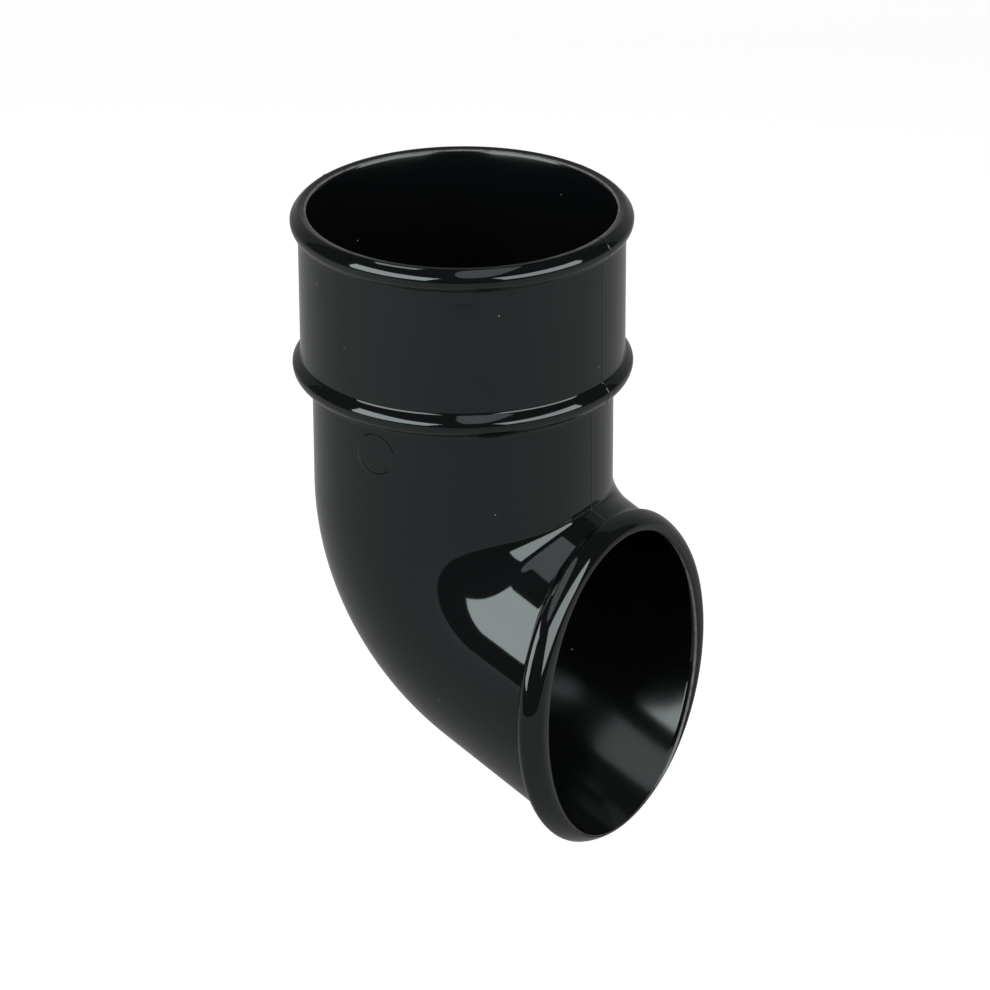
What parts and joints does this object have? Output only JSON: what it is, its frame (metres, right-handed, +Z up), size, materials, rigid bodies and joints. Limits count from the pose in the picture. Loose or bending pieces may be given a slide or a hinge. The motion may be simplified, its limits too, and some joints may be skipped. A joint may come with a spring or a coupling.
{
  "type": "downpipe shoe",
  "caption": "Moulded shoe for the foot of a round downpipe: a beaded push-on socket, a short bend and a ringed outlet that throws rainwater clear of the wall.",
  "frame": {"origin": "on the socket's axis at the pipe stop, the ledge inside that the pipe's end rests on", "axes": "+Z up along the socket's axis and out of its mouth; +X towards the outlet; +Y across the plane of symmetry"},
  "size_m": [0.0825, 0.0774, 0.1457],
  "materials": {
    "black_plastic": "glossy moulded, near black"
  },
  "bodies": {
    "root": {"shoe_body": "black_plastic"}
  },
  "joints": []
}
